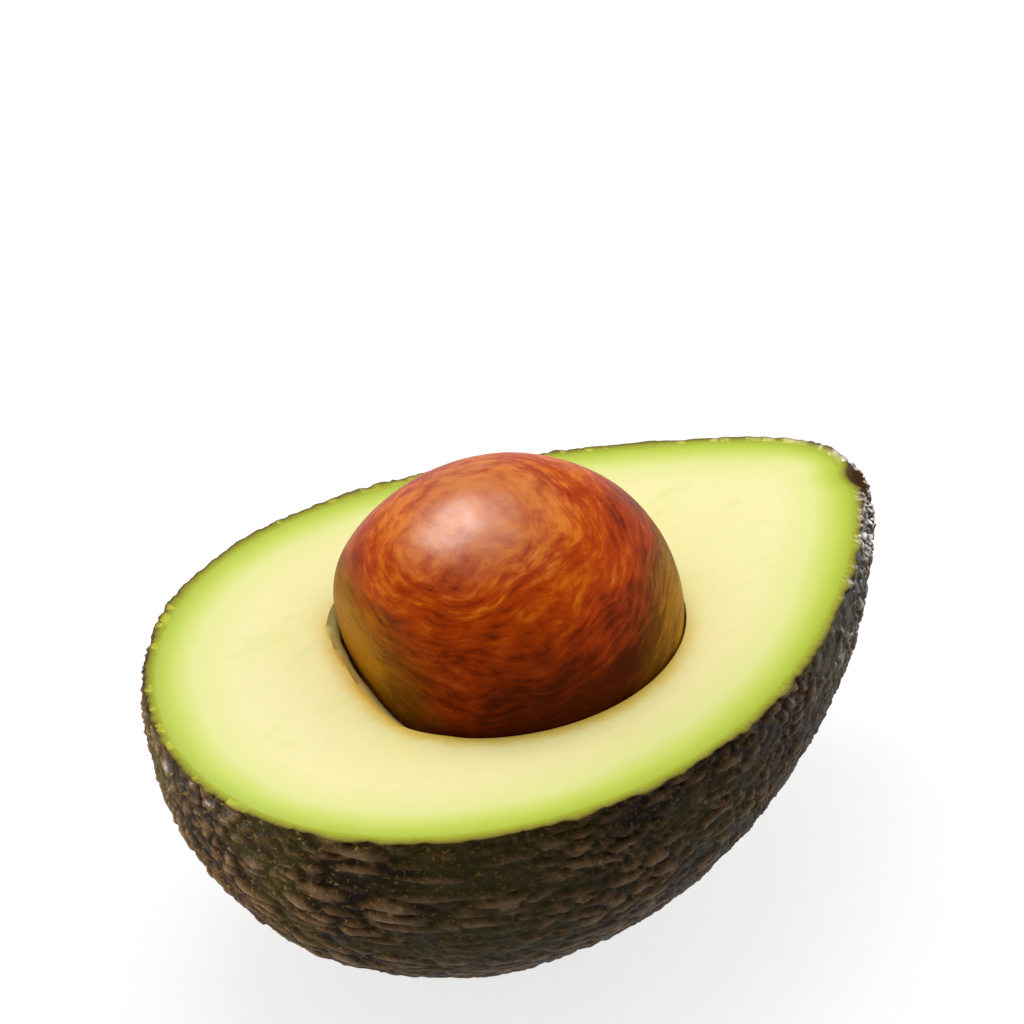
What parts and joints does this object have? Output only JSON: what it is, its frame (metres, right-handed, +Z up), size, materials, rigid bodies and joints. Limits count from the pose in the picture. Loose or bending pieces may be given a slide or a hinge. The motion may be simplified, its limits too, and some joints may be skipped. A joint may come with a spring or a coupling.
{
  "type": "avocado half with its stone",
  "caption": "Half of a ripe avocado cut lengthwise: rough dark peel, green-edged yellow flesh and a glossy brown stone in its socket, lying cut face up.",
  "frame": {"origin": "middle of the small flat spot on the underside that the half rests on", "axes": "+Z up, square to the level cut face; +X along the fruit towards the stem end; +Y across the cut face"},
  "size_m": [0.1, 0.0653, 0.0555],
  "materials": {
    "peel": "satin",
    "flesh": "satin",
    "stone": "gloss"
  },
  "bodies": {
    "root": {"peel": "peel", "flesh": "flesh", "stone": "stone"}
  },
  "joints": []
}
